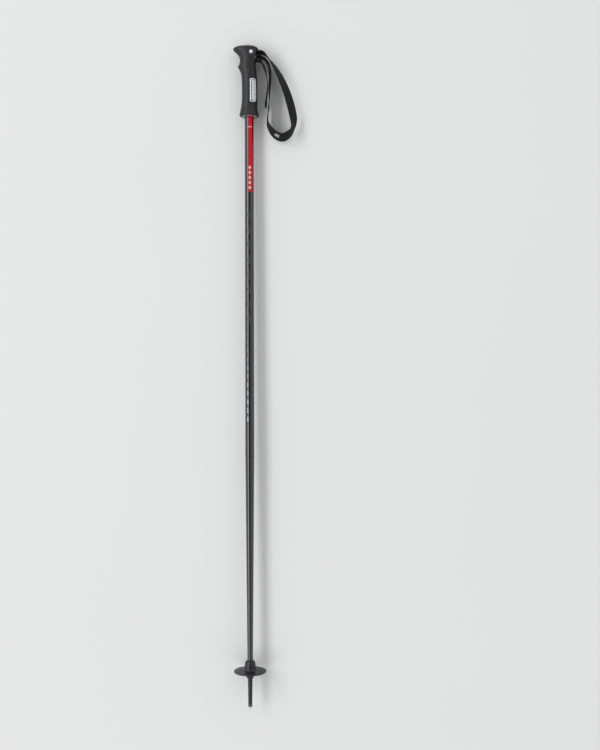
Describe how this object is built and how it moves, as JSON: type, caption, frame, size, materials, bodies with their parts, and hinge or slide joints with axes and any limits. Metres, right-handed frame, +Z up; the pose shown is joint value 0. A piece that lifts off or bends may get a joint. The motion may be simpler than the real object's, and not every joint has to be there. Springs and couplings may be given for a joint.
{
  "type": "ski pole",
  "caption": "Alpine ski pole: a tapered tube with a moulded grip, a wedge-locked wrist strap, a push-fit basket and a steel tip.",
  "frame": {"origin": "centre of the flat end of the steel tip, on the shaft's axis", "axes": "+Z runs up the shaft's axis from the tip to the grip, -X is the front, where the grip's beak and finger rest face, and +X is the rear, where the strap leaves the head"},
  "size_m": [0.1162, 0.0586, 1.2],
  "materials": {
    "shaft_lacquer": "satin black lacquer over aluminium, with a printed red stripe and silver dashes",
    "grip_rubber": "soft matt rubber with a fine moulded grain",
    "grip_hard": "hard moulded nylon, matt",
    "grip_ring": "light grey moulded ring",
    "strap_webbing": "tight flat-woven polyester webbing",
    "strap_wedge": "grey moulded acetal",
    "pin_metal": "bright turned steel",
    "badge_metal": "bright rolled aluminium",
    "badge_enamel": "dark filled enamel",
    "lower_plastic": "black moulded nylon, slightly scuffed",
    "tip_collar": "blackened steel",
    "tip_steel": "bright hardened steel"
  },
  "bodies": {
    "pole": {"shaft_tube": "shaft_lacquer", "tube_plug": "grip_hard", "grip_shell": "grip_rubber", "grip_cap": "grip_rubber", "grip_sleeve": "grip_hard", "grip_collar": "grip_ring", "badge_frame": "badge_metal", "badge_field": "badge_enamel", "strap_housing": "grip_hard", "strap_pin_barrel": "pin_metal", "strap_pin_screw": "pin_metal", "strap_anchor": "strap_webbing", "strap_bight": "strap_webbing", "ferrule": "lower_plastic", "tip_collar": "tip_collar", "steel_tip": "tip_steel"},
    "strap_loop": {"strap_loop": "strap_webbing"},
    "strap_tail": {"strap_tail": "strap_webbing"},
    "strap_wedge": {"strap_wedge": "strap_wedge"},
    "basket": {"basket": "lower_plastic"}
  },
  "joints": [
    {"name": "strap_swing", "type": "hinge", "parent": "pole", "child": "strap_loop", "pos_m": [0.0203, 0, 1.1891], "axis": [0, -1, 0], "range_deg": [0, 75]},
    {"name": "tail_swing", "type": "hinge", "parent": "pole", "child": "strap_tail", "pos_m": [0.0171, 0, 1.1746], "axis": [0, -1, 0], "range_deg": [-7, 0]},
    {"name": "wedge_slide", "type": "slide", "parent": "pole", "child": "strap_wedge", "axis": [1, 0, 0], "range_m": [0, 0.0035]},
    {"name": "basket_pull", "type": "slide", "parent": "pole", "child": "basket", "axis": [0, 0, -1], "range_m": [0, 0.09]}
  ]
}
